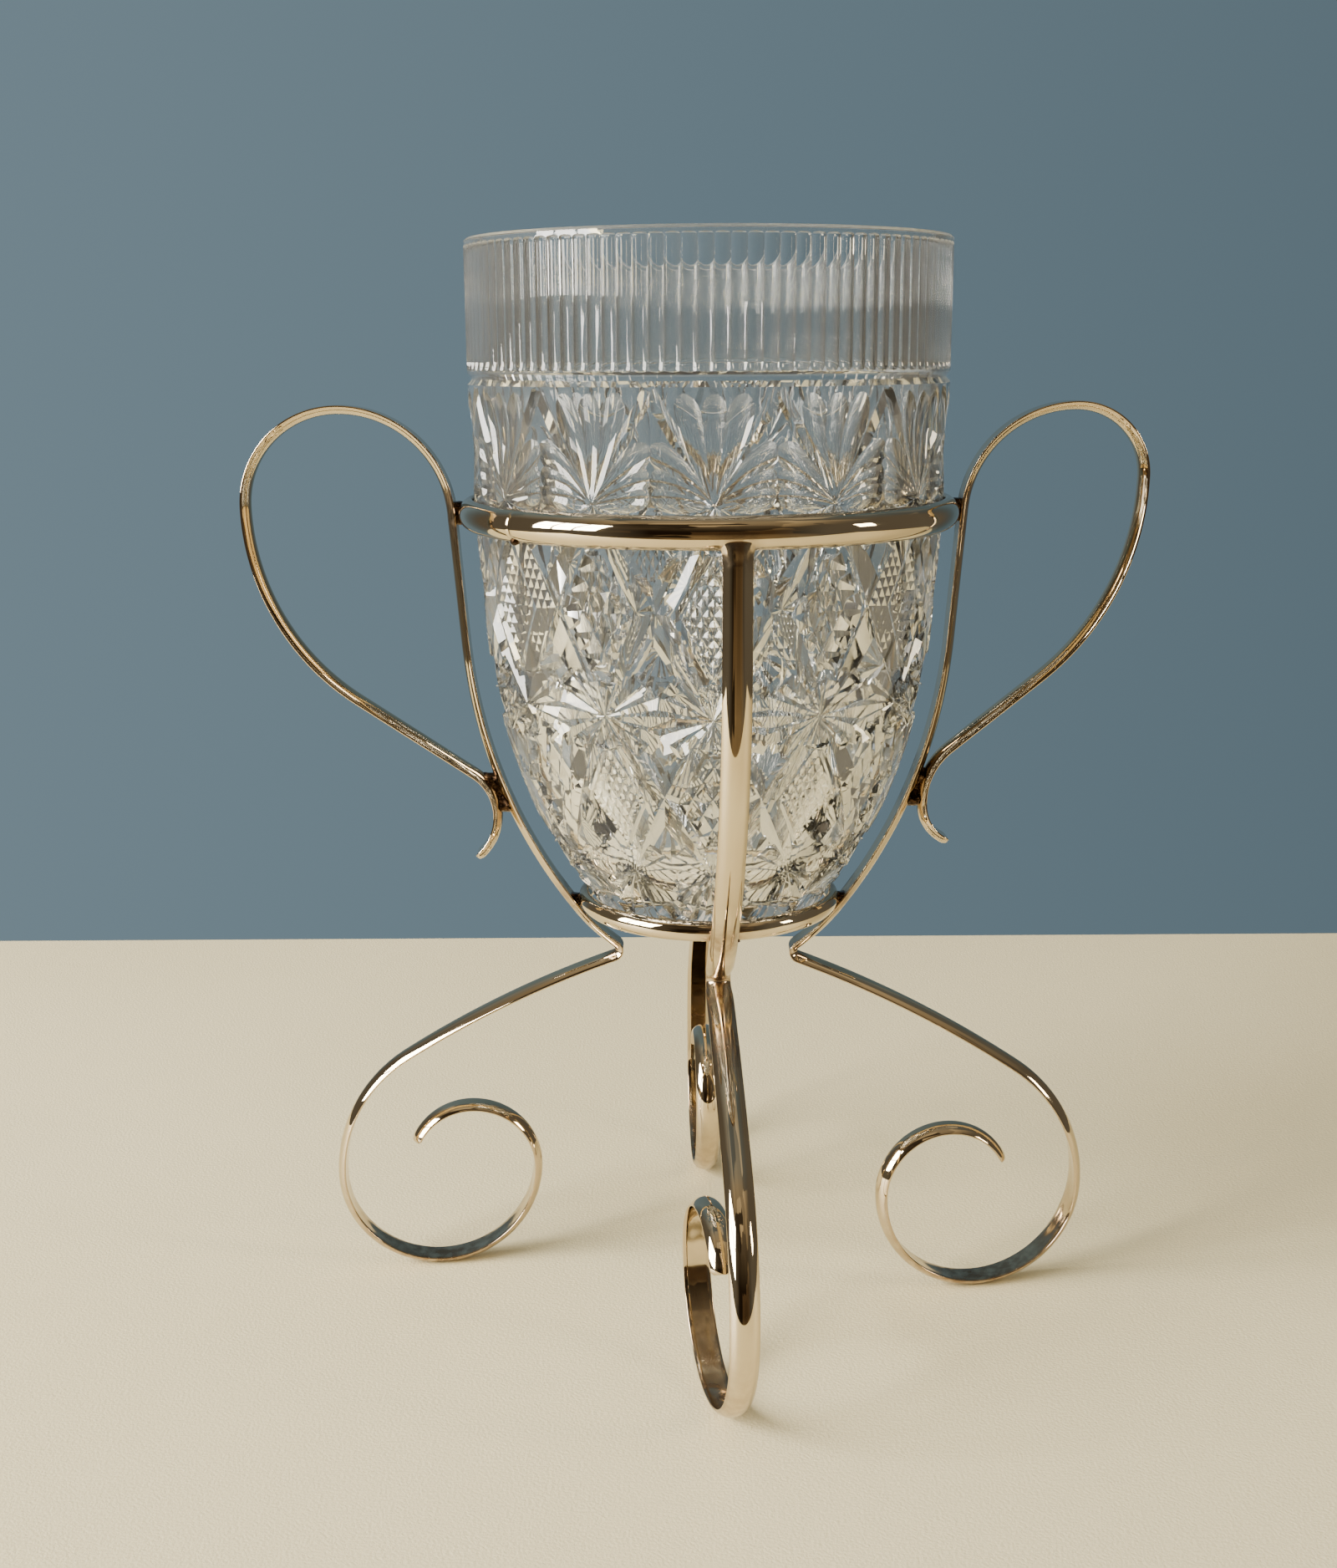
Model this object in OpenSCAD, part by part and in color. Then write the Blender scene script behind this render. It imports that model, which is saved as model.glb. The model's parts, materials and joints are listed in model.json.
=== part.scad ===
// Champagne bucket stand: four bent half-round legs brazed to two rings, holding a cut-glass bucket.
// The stand stands on the plane z = 0, its axis is the Z axis, and its front faces -Y.

/* [Strip] */
// Width of the half-round strip that the legs and handles are bent from
strip_w = 10.6; // [9:0.2:12]
// Thickness of that strip at its crest
strip_t = 3.3; // [2.7:0.1:3.5]

/* [Upper ring] */
// Inside radius of the ring that steadies the bucket near its rim
upper_ring_r = 84.9; // [84.6:0.1:85.4]
// Height of the upper ring's half-round band
upper_ring_h = 11.6; // [10:0.2:13]
// Thickness of the upper ring at its crest
upper_ring_t = 4.9; // [4:0.1:5.5]

/* [Lower ring] */
// Inside radius of the ring that the bucket's tapering foot sits in
lower_ring_r = 45.6; // [45.4:0.1:46]
// Height of the lower ring's half-round band
lower_ring_h = 8; // [7:0.2:9]
// Thickness of the lower ring at its crest
lower_ring_t = 3.4; // [2.8:0.1:4]
// How far the lower ring's middle lies below the upper ring's middle
ring_drop = 144.5; // [143:0.5:146]

/* [Side legs] */
// Radius at which a side leg's strip passes outside the upper ring
side_leg_r = 92.6; // [92.2:0.1:93]
// Inward lean of a side leg as it passes the upper ring, in degrees
side_lean = 4.5; // [4:0.1:5]
// Straight length of the left leg below the upper ring's middle
left_straight = 48; // [47:0.5:49]
// Radius of a side leg's long inward curve
side_thigh_r = 190; // [188:1:192]

/* [Front and rear legs] */
// Radius at which the front and rear legs meet the upper ring from below
plain_leg_r = 88.2; // [87.8:0.1:88.4]
// Inward lean of the front and rear legs at the upper ring, in degrees
plain_lean = 1; // [0.5:0.1:1.5]
// How far below the upper ring's middle the front and rear legs start
plain_start = 3.2; // [3:0.1:3.6]
// Radius of the long inward curve of the front and rear legs
plain_thigh_r = 181.5; // [179:0.5:184]
// Angle that the front and rear legs are folded back through, in degrees
plain_fold_bend = 121; // [120:0.5:123]
// Angle of their almost straight run from the fold, in degrees
plain_shin_bend = 12; // [11:0.5:13]

/* [Fold] */
// Heading of every leg where its long inward curve ends, in degrees from straight down
thigh_heading = 38; // [37:0.5:39]
// Radius of the tighter curve just above the fold
knee_r = 73; // [70:1:76]
// Angle of that tighter curve, in degrees
knee_bend = 15.5; // [14.5:0.5:16.5]
// The same angle on the right leg
right_knee_bend = 17; // [16.5:0.5:17.5]
// Radius of the sharp fold below the lower ring, along the strip's middle
fold_r = 2.4; // [2.4:0.1:3]
// Angle that the left leg is folded back through, in degrees
left_fold_bend = 123.5; // [122.5:0.5:124.5]
// The same angle on the right leg
right_fold_bend = 125; // [124:0.5:126]
// Twist of the strip as it is folded, in degrees, which sets the lower leg sideways
fold_twist = 2; // [0:0.5:3]
// The same twist on the right leg
right_fold_twist = 7; // [6:0.5:8]

/* [Scroll feet] */
// Radius of the almost straight run from the fold towards the foot
shin_r = 400; // [350:10:450]
// Angle of that run on the left leg, in degrees
left_shin_bend = 13; // [12:0.5:14]
// The same angle on the right leg
right_shin_bend = 13.5; // [12.5:0.5:14.5]
// Radius of the curve that turns the leg down to the foot
calf_r = 60; // [58:0.5:62]
// The same radius on the right leg
right_calf_r = 55.5; // [54:0.5:57]
// Radius of the lower half of the scroll
scroll_r = 38.5; // [37.5:0.5:39.5]
// The same radius on the right leg
right_scroll_r = 39.5; // [38.5:0.5:40.5]
// Radius of the scroll as it rises inside
rise_r = 26.5; // [25.5:0.5:27.5]
// The same radius on the right leg
right_rise_r = 25.5; // [24.5:0.5:26.5]
// Radius of the scroll's free tail
tail_r = 23.5; // [22.5:0.5:24.5]
// The same radius on the right leg
right_tail_r = 25; // [24:0.5:26]
// Angle of the scroll's free tail, in degrees
tail_bend = 66; // [55:1:72]
// Twist of the strip round the scroll's outermost point, in degrees, which opens the scroll sideways
scroll_twist = 8; // [0:0.5:10]
// The same twist on the right leg
right_scroll_twist = 15; // [12:0.5:16]
// The same twist on the rear leg
rear_scroll_twist = 2; // [0:0.5:8]
// Angle on each side of that point over which the strip is twisted
twist_span = 20; // [10:5:30]

/* [Handles] */
// Radius of the curve that lifts a handle out of the ring
lift_r = 39.5; // [38.5:0.5:40.5]
// Radius of the left handle's outer end
left_loop_r = 34; // [33.5:0.5:34.5]
// Radius of the left handle's long curve back towards its leg
left_back_r = 85; // [83:1:86]
// Angle of that curve, in degrees
left_back_bend = 56; // [55.5:0.5:56]
// Straight length of the left handle on its way back
left_return = 50; // [48:0.5:50.5]
// Radius of the left handle where it turns down beside its leg
left_heel_r = 19; // [19:0.5:21]
// Angle of that turn, in degrees
left_heel_bend = 42; // [41:1:44]
// Radius of the left handle's free tail
left_end_r = 21; // [18:1:24]
// Angle of that tail, in degrees
left_end_bend = 65; // [50:1:75]
// Radius of the right handle's outer end
right_loop_r = 25; // [25:0.5:26]
// Radius of the right handle's long curve back towards its leg
right_back_r = 94; // [93:1:96]
// Angle of that curve, in degrees
right_back_bend = 51; // [50.5:0.5:51]
// Straight length of the right handle on its way back
right_return = 42; // [40:0.5:42]
// Radius of the right handle where it turns down beside its leg
right_heel_r = 26; // [26:0.5:28]
// Angle of that turn, in degrees
right_heel_bend = 58; // [57:1:60]
// Radius of the right handle's free tail
right_end_r = 16; // [14:1:18]
// Angle of that tail, in degrees
right_end_bend = 60; // [50:1:70]

/* [Leg places] */
// How far the front leg stands round from straight ahead, in degrees
front_turn = 5; // [0:0.5:8]
// How far the rear leg stands round from straight behind, in degrees
rear_turn = 2; // [0:0.5:8]
// How far the side legs and their handles stand round from the X axis, in degrees
side_turn = 1; // [0:0.5:4]

/* [Bucket] */
// Outside radius of the bucket's straight upper part
bucket_r = 85.2; // [85:0.1:85.3]
// Height of the rim above the upper ring's middle
rim_rise = 94; // [90:1:98]
// Height of the shoulder, where the body starts to taper, above the upper ring's middle
shoulder_rise = 42.5; // [42:0.5:44]
// Depth of the bucket's underside below the upper ring's middle
base_drop = 151.5; // [150.5:0.5:151.5]
// How much the bucket's radius shrinks evenly from shoulder to base
even_taper = 6.1; // [6:0.1:6.4]
// How much more it shrinks, mostly near the base
nose_taper = 43.5; // [43.4:0.1:44]
// Wall thickness of the bucket
wall = 6; // [5:0.5:7]
// Thickness of the bucket's bottom
bottom = 15; // [12:1:18]
// Height of the middle of the groove cut round the bucket, above the upper ring's middle
groove_rise = 47; // [46.5:0.5:50]
// Depth of that groove
groove_depth = 1.6; // [1:0.1:2]
// Height of that groove
groove_h = 3.8; // [3:0.2:4.2]
// Width of the ground chamfers at the rim
rim_chamfer = 0.6; // [0.3:0.1:1]

/* [Brazing] */
// Radius of the filler between a side leg and the upper ring
pad_r = 4.2; // [3.5:0.1:4.8]
// Radius of the filler blobs between the legs and the lower ring
blob_r = 3.4; // [3.2:0.1:4]
// Radius of the fillets where the front and rear legs meet the upper ring
fillet_r = 2.2; // [1.8:0.1:2.4]
// Radius of the filler spots between a handle and its leg
spot_r = 2.4; // [2.2:0.1:2.8]
// Radius of the filler under the upper ring's own seam
seam_r = 2; // [1.6:0.1:2.4]
// Place of that seam round the ring, in degrees
seam_at = -139; // [-145:1:-130]

/* [Hidden] */
$fn = 64;

silver = [0.80, 0.77, 0.70];
filler = [0.42, 0.31, 0.20];
crystal = [0.86, 0.90, 0.90, 0.5];

front_at = -90 + front_turn;
right_at = side_turn;
rear_at = 90 + rear_turn;
left_at = 180 + side_turn;

// Each bend of a strip is [radius, angle, twist]. A right turn has a negative angle, a radius of 0 is a
// straight whose length is the second number, and the twist is spread along the bend.
// A place on a strip is [middle, direction to its right, direction ahead].

// Number of straight pieces that a bend is made of, so that none leaves its arc by more than the tolerance
tolerance = 0.08;
function pieces(bend) =
    bend[0] == 0 ? 1 : ceil(abs(bend[1]) / min(25, 2 * acos(1 - tolerance / bend[0])));

// The next place on a strip after one small bend
function advance(place, bend) =
    let (ahead = place[2],
         up = cross(place[1], ahead),
         right = place[1] * cos(bend[2]) - up * sin(bend[2]),
         turn = bend[1],
         out = right * sign(turn) * bend[0])
    bend[0] == 0 ? [place[0] + ahead * turn, right, ahead]
        : let (new_right = right * cos(turn) + ahead * sin(turn),
               new_ahead = ahead * cos(turn) - right * sin(turn))
          [place[0] - out + new_right * sign(turn) * bend[0], new_right, new_ahead];

// All places along a strip that starts at one place and follows a list of bends
function places(start, bends) =
    let (small = [for (b = bends) let (n = pieces(b)) for (k = [1 : n]) [b[0], b[1] / n, b[2] / n]])
    [for (i = 0, p = start; i <= len(small); p = i < len(small) ? advance(p, small[i]) : p, i = i + 1) p];

// A place in the XZ plane, heading down or up and leaning a little
function going_down(r, z, lean) = [[r, 0, z], [-cos(lean), 0, sin(lean)], [-sin(lean), 0, -cos(lean)]];
function going_up(r, z, lean) = [[r, 0, z], [cos(lean), 0, -sin(lean)], [sin(lean), 0, cos(lean)]];

// Points of the half-round section about its middle, with the flat towards +X and the crest towards -X
crest_pieces = 8;
crest_r = (strip_w * strip_w / 4 + strip_t * strip_t) / (2 * strip_t);
crest_half = asin(strip_w / 2 / crest_r);
section = [for (i = [0 : crest_pieces]) let (a = 180 - crest_half + 2 * crest_half * i / crest_pieces)
    [crest_r - strip_t / 2 + crest_r * cos(a), crest_r * sin(a)]];

// The section's points at a place on the strip
function ring_points(place) =
    let (up = cross(place[1], place[2])) [for (q = section) place[0] + place[1] * q[0] + up * q[1]];
function lowest(strip) = min([for (p = strip) for (q = ring_points(p)) q[2]]);

// A leg from its knee to the tail of its scroll, from its bends' angles, its twists and its four foot radii
function lower_bends(knee, fold, shin, folded_twist, foot_twist, foot) = [
    [knee_r, -knee, 0],
    [fold_r, fold, folded_twist],
    [shin_r, -shin, 0],
    [foot[0], thigh_heading + knee - fold + shin + twist_span, 0],
    [foot[0], -twist_span, -foot_twist / 2],
    [foot[1], -twist_span, -foot_twist / 2],
    [foot[1], twist_span - 180, 0],
    [foot[2], -90, 0],
    [foot[3], -tail_bend, 0]];
foot_radii = [calf_r, scroll_r, rise_r, tail_r];
side_thigh = [side_thigh_r, side_lean - thigh_heading, 0];
left_lower = concat([side_thigh],
    lower_bends(knee_bend, left_fold_bend, left_shin_bend, fold_twist, scroll_twist, foot_radii));
right_lower = concat([side_thigh],
    lower_bends(right_knee_bend, right_fold_bend, right_shin_bend, right_fold_twist, right_scroll_twist,
        [right_calf_r, right_scroll_r, right_rise_r, right_tail_r]));
function plain_lower(foot_twist) = concat([[plain_thigh_r, plain_lean - thigh_heading, 0]],
    lower_bends(knee_bend, plain_fold_bend, plain_shin_bend, fold_twist, foot_twist, foot_radii));

// How far below its start a leg reaches when it has no straight
function reach(r, lean, lower) = -lowest(places(going_down(r, 0, lean), lower));

// The left leg's foot is on the ground, which sets the upper ring's height, and the other legs get the
// straight that puts their feet on the same ground
ring_z = reach(side_leg_r, side_lean, left_lower) + left_straight * cos(side_lean);
right_straight = (ring_z - reach(side_leg_r, side_lean, right_lower)) / cos(side_lean);
plain_top = ring_z - plain_start;
function plain_straight(foot_twist) =
    (plain_top - reach(plain_leg_r, plain_lean, plain_lower(foot_twist))) / cos(plain_lean);

left_bends = [
    [lift_r, side_lean - 90, 0],
    [left_loop_r, -90, 0],
    [left_back_r, -left_back_bend, 0],
    [0, left_return, 0],
    [left_heel_r, left_heel_bend, 0],
    [left_end_r, left_end_bend, 0]];
right_bends = [
    [lift_r, side_lean - 90, 0],
    [right_loop_r, -90, 0],
    [right_back_r, -right_back_bend, 0],
    [0, right_return, 0],
    [right_heel_r, right_heel_bend, 0],
    [right_end_r, right_end_bend, 0]];

lower_ring_z = ring_z - ring_drop;
rim_z = ring_z + rim_rise;
shoulder_z = ring_z + shoulder_rise;
base_z = ring_z - base_drop;
groove_z = ring_z + groove_rise;
body_steps = 14;

// Outside radius of the bucket's tapering body at height z
function body_r(z) =
    let (u = (shoulder_z - z) / (shoulder_z - base_z))
    bucket_r - even_taper * u - nose_taper * pow(u, 4);

// Half-round outline with its flat on the Y axis and its crest towards +X
module half_round(w, t) {
    r = (w * w / 4 + t * t) / (2 * t);
    intersection() {
        translate([t - r, 0]) circle(r);
        translate([0, -w / 2]) square([t, w]);
    }
}

// A strip through a list of places, as one closed skin
module strip(strip_places) {
    n = len(section);
    last = (len(strip_places) - 1) * n;
    skin = [for (i = [0 : len(strip_places) - 2]) for (j = [0 : n - 1])
        let (a = i * n + j, b = i * n + (j + 1) % n)
        each [[a, b, b + n], [a, b + n, a + n]]];
    polyhedron(
        points = [for (p = strip_places) each ring_points(p)],
        faces = concat([[for (j = [n - 1 : -1 : 0]) j]], skin, [[for (j = [0 : n - 1]) last + j]]));
}

// A side leg and its handle are one strip that passes outside the upper ring
module leg_with_handle(at, handle_bends, leg_bends) {
    handle = places(going_up(side_leg_r, ring_z, side_lean), handle_bends);
    leg = places(going_down(side_leg_r, ring_z, side_lean), leg_bends);
    rotate([0, 0, at]) strip(concat(
        [for (i = [len(handle) - 1 : -1 : 1]) [handle[i][0], -handle[i][1], -handle[i][2]]],
        leg));
}

// The front and rear legs end in the underside of the upper ring
module plain_leg(at, foot_twist) {
    rotate([0, 0, at]) strip(places(
        going_down(plain_leg_r, plain_top, plain_lean),
        concat([[0, plain_straight(foot_twist), 0]], plain_lower(foot_twist))));
}

module ring(r, z, h, t) {
    translate([0, 0, z]) rotate_extrude() translate([r, 0]) half_round(h, t);
}

module upper_ring() {
    color(silver) ring(upper_ring_r, ring_z, upper_ring_h, upper_ring_t);
}

module lower_ring() {
    color(silver) ring(lower_ring_r, lower_ring_z, lower_ring_h, lower_ring_t);
}

module left_leg_handle() {
    color(silver) leg_with_handle(left_at, left_bends, concat([[0, left_straight, 0]], left_lower));
}

module right_leg_handle() {
    color(silver) leg_with_handle(right_at, right_bends, concat([[0, right_straight, 0]], right_lower));
}

module front_leg() {
    color(silver) plain_leg(front_at, scroll_twist);
}

module rear_leg() {
    color(silver) plain_leg(rear_at, rear_scroll_twist);
}

// The bucket is turned, with a flat rim, a groove round it and a tapering body
module bucket() {
    inner_r = bucket_r - wall;
    floor_z = base_z + bottom;
    outside = [for (i = [0 : body_steps]) let (z = base_z + (shoulder_z - base_z) * i / body_steps) [body_r(z), z]];
    inside = [for (i = [body_steps : -1 : 0]) let (z = floor_z + (shoulder_z - floor_z) * i / body_steps)
        [body_r(z) - wall, z]];
    color(crystal) rotate_extrude() polygon(concat(
        [[0, base_z]],
        outside,
        [[bucket_r, groove_z - groove_h / 2],
         [bucket_r - groove_depth, groove_z],
         [bucket_r, groove_z + groove_h / 2],
         [bucket_r, rim_z - rim_chamfer],
         [bucket_r - rim_chamfer, rim_z],
         [inner_r + rim_chamfer, rim_z],
         [inner_r, rim_z - rim_chamfer]],
        inside,
        [[0, floor_z]]));
}

// Filler that closes the gap between the upper ring and a side leg
module pad(at) {
    start = upper_ring_r + upper_ring_t / 2;
    color(filler) rotate([0, 0, at]) translate([start, 0, ring_z]) rotate([0, 90, 0])
        cylinder(r = pad_r, h = side_leg_r - start);
}

// Filler along the underside of the upper ring, showing on both sides of a plain leg
module fillet(at) {
    color(filler) rotate([0, 0, at])
        translate([upper_ring_r + fillet_r, 0, ring_z - upper_ring_h / 2 + fillet_r / 3]) rotate([90, 0, 0])
            cylinder(r = fillet_r, h = strip_w + 2 * fillet_r, center = true);
}

// Filler blob between the lower ring and a leg, reaching past one edge of the strip
module blob(at) {
    color(filler) rotate([0, 0, at])
        translate([lower_ring_r + lower_ring_t + blob_r / 3, strip_w / 3, lower_ring_z]) sphere(blob_r);
}

// Two filler spots where a handle comes down beside its leg, given as their distances from the axis and
// their heights below the upper ring's middle
module spots(at, places) {
    color(filler) rotate([0, 0, at]) for (p = places) translate([p[0], 0, ring_z - p[1]]) sphere(spot_r);
}

module braze_upper_front() fillet(front_at);
module braze_upper_right() pad(right_at);
module braze_upper_rear() fillet(rear_at);
module braze_upper_left() pad(left_at);
module braze_lower_front() blob(front_at);
module braze_lower_right() blob(right_at);
module braze_lower_rear() blob(rear_at);
module braze_lower_left() blob(left_at);
module braze_handle_left() spots(left_at, [[81.5, 98], [78.6, 109.5]]);
module braze_handle_right() spots(right_at, [[80.5, 97.5], [77.5, 107.5]]);

module braze_ring_seam() {
    color(filler) rotate([0, 0, seam_at])
        translate([upper_ring_r + seam_r, 0, ring_z - upper_ring_h / 2 + seam_r / 2]) sphere(seam_r);
}

upper_ring();
lower_ring();
left_leg_handle();
right_leg_handle();
front_leg();
rear_leg();
bucket();
braze_upper_front();
braze_upper_right();
braze_upper_rear();
braze_upper_left();
braze_lower_front();
braze_lower_right();
braze_lower_rear();
braze_lower_left();
braze_handle_left();
braze_handle_right();
braze_ring_seam();
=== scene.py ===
"""Looks of the champagne bucket stand: a cut-crystal bucket in a silver-plated cradle."""

import json
import math

import bpy
from mathutils import Matrix, Vector, noise

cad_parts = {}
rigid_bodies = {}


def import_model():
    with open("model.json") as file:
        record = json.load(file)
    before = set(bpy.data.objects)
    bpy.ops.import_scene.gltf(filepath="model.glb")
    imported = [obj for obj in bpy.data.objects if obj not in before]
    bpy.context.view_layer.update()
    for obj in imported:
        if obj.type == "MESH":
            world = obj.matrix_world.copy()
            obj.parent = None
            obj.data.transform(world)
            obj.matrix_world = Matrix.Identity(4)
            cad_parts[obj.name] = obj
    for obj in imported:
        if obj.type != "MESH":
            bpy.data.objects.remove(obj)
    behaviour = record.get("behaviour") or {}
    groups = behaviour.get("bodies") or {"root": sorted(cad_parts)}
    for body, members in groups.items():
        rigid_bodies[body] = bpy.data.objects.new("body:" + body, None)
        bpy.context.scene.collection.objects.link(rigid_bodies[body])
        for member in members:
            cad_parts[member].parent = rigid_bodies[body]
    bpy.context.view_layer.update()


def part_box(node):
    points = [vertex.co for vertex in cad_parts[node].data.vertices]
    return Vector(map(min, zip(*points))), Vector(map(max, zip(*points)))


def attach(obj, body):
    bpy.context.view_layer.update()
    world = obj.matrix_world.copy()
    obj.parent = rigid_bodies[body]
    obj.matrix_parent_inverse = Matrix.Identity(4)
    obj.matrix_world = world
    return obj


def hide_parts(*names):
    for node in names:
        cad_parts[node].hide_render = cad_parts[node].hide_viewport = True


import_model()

MM = 0.001


def radians(*degrees):
    """One angle, or a list of them, in radians."""
    turned = [math.radians(d) for d in degrees]
    return turned[0] if len(turned) == 1 else turned


# ---------------------------------------------------------------------------------------------------------
# Meshes
# ---------------------------------------------------------------------------------------------------------

def paint(mesh, name, values):
    """Gives every point of a mesh a number that materials can read."""
    mesh.attributes.new(name, "FLOAT", "POINT").data.foreach_set("value", values)


def new_object(name, points, faces, material, smooth_angle=radians(30)):
    """A smooth mesh object whose edges are creases where they bend more than smooth_angle."""
    mesh = bpy.data.meshes.new(name)
    mesh.from_pydata([tuple(p) for p in points], [], faces)
    mesh.validate()
    mesh.shade_smooth()
    mesh.set_sharp_from_angle(angle=smooth_angle)
    obj = bpy.data.objects.new(name, mesh)
    bpy.context.scene.collection.objects.link(obj)
    mesh.materials.append(material)
    return obj


def skin(rows, loop=False):
    """Points and faces of a tube through rows of points that each go once round it. Its ends are closed, or
    joined to each other in a loop."""
    count = len(rows[0])
    points = [p for row in rows for p in row]
    faces = []
    for i in range(len(rows) if loop else len(rows) - 1):
        a, b = i * count, (i + 1) % len(rows) * count
        for j in range(count):
            k = (j + 1) % count
            faces.append((a + j, a + k, b + k, b + j))
    if not loop:
        faces.append(tuple(reversed(range(count))))
        faces.append(tuple(len(points) - count + j for j in range(count)))
    return points, faces


def joined(parts):
    """Several (points, faces) as one."""
    points, faces = [], []
    for more_points, more_faces in parts:
        start = len(points)
        points += more_points
        faces += [tuple(start + i for i in f) for f in more_faces]
    return points, faces


# ---------------------------------------------------------------------------------------------------------
# Crystal: a turned blank, cut with swept wheels
# ---------------------------------------------------------------------------------------------------------

BUCKET_LOW, BUCKET_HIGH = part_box("bucket")
UPPER_LOW, UPPER_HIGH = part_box("upper_ring")
LOWER_LOW, LOWER_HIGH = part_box("lower_ring")
RING_Z = (UPPER_LOW.z + UPPER_HIGH.z) / 2
BUCKET_R = BUCKET_HIGH.x
BASE_Z, RIM_Z = BUCKET_LOW.z, BUCKET_HIGH.z
SHOULDER_Z = RING_Z + 42.5 * MM
GROOVE_Z = RING_Z + 47 * MM
WALL, BOTTOM = 6 * MM, 15 * MM
RIM_BEVEL = 0.8 * MM

# What the body loses in radius from its shoulder to its base: evenly, and mostly near the base
EVEN_TAPER, NOSE_TAPER = 6.1 * MM, 43.5 * MM

# Columns of cutting round the bucket, numbered from the front, and the angle of one
COLUMNS = 13
COLUMN = 2 * math.pi / COLUMNS
COLUMN_NUMBERS = range(-(COLUMNS // 2), COLUMNS // 2 + 1)
FLUTES = 8 * COLUMNS

# How far a cutter stands out of the surface that it cuts
CLEAR = 0.7 * MM


def taper(z):
    """How far down the tapering body z is, from 0 at the shoulder to 1 at the base."""
    return min(1.0, max(0.0, (SHOULDER_Z - z) / (SHOULDER_Z - BASE_Z)))


def body_r(z):
    """Outside radius of the uncut bucket at height z."""
    return BUCKET_R - EVEN_TAPER * taper(z) - NOSE_TAPER * taper(z) ** 4


def surface(turn, z):
    """A point of the uncut outside and its normal. turn is the angle round from the front, towards +X."""
    slope = (EVEN_TAPER + 4 * NOSE_TAPER * taper(z) ** 3) / (SHOULDER_Z - BASE_Z) if z < SHOULDER_Z else 0
    out = Vector((math.sin(turn), -math.cos(turn), 0))
    r = body_r(z)
    return Vector((out.x * r, out.y * r, z)), (out - Vector((0, 0, slope))).normalized()


def mitre(depth, half_angle=radians(55)):
    """Section of a V-shaped cut: pairs of (across, depth)."""
    half = (depth + CLEAR) * math.tan(half_angle)
    return [(-half, -CLEAR), (0, depth), (half, -CLEAR)]


def lattice_mitre(depth):
    """Section of the slightly narrower cuts in a lattice."""
    return mitre(depth, radians(52))


def hollow(depth, radius, steps):
    """Section of a rounded cut, in pairs of (across, depth)."""
    half = math.sqrt(max(radius ** 2 - (radius - depth - CLEAR) ** 2, 1e-12))
    reach = math.asin(min(1.0, half / radius))
    return [(radius * math.sin(a), depth - radius + radius * math.cos(a))
            for a in (reach * (2 * i / steps - 1) for i in range(steps + 1))]


def cutter(path, section):
    """A closed wheel cut along a path of (turn, z, depth)."""
    places = [surface(turn, z) for turn, z, _ in path]
    rows = []
    for i, (point, normal) in enumerate(places):
        ahead = places[min(i + 1, len(places) - 1)][0] - places[max(i - 1, 0)][0]
        side = normal.cross(ahead).normalized()
        rows.append([point + side * across - normal * depth for across, depth in section(path[i][2])])
    return skin(rows)


def straight(start, end, depth_at, steps):
    """A path of (turn, z, depth) between two places; depth_at says the depth at a share of the way."""
    return [(start[0] + (end[0] - start[0]) * t, start[1] + (end[1] - start[1]) * t, depth_at(t))
            for t in (i / steps for i in range(steps + 1))]


def line_depth(depth, run_in, run_out, length):
    """Depth along a cut of a length, which goes in and comes out over run_in and run_out."""
    def depth_at(t):
        near = min(1.0, t * length / run_in)
        far = min(1.0, (1 - t) * length / run_out)
        return depth * math.sqrt(max(0.0, 1 - (1 - near) ** 2)) * math.sqrt(max(0.0, 1 - (1 - far) ** 2))
    return depth_at


# Heights of the rows of stars, of the top of the fans and of the uncut foot
TOP_STARS, MIDDLE_STARS, LOW_STARS = (RING_Z + h * MM for h in (8, -62.5, -121.5))
FAN_TOP = GROOVE_Z - 3.2 * MM
FOOT_TOP = BASE_Z + 3.5 * MM


def star(z, rays, low, high, inner, section, steps=5):
    """Batches of the rays of a row of stars, each batch one ray of every star. rays holds (angle, depth,
    share of the way to the edge of the star's own cell), and a ray starts at inner from the middle."""
    r = body_r(z)
    half = COLUMN / 2 * r
    batches = []
    for angle, depth, share in rays:
        along, up = math.cos(angle), math.sin(angle)
        room = [half / abs(along)] if abs(along) > 1e-6 else []
        room += [(high - z) / up] if up > 1e-6 else []
        room += [(low - z) / up] if up < -1e-6 else []
        length = min(room) * share
        batch = []
        for turn in (number * COLUMN for number in COLUMN_NUMBERS):
            start = (turn + along * inner / r, z + up * inner)
            end = (turn + along * length / r, z + up * length)
            batch.append(cutter(straight(start, end, depth(length - inner), steps), section))
        batches.append(joined(batch))
    return batches


def growing(depth, full_at, middle=0.05 * MM):
    """Depth of a star's ray: it grows evenly from its depth at the middle and stays full from full_at on."""
    return lambda length: lambda t: middle + (depth - middle) * min(1.0, t * length / full_at)


def leaf(depth):
    """Depth of a leaf-shaped cut: nothing at its ends and most beyond its middle."""
    return lambda length: lambda t: 0.02 * MM + depth * max(0.0, math.sin(math.pi * t ** 1.6)) ** 0.75


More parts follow.
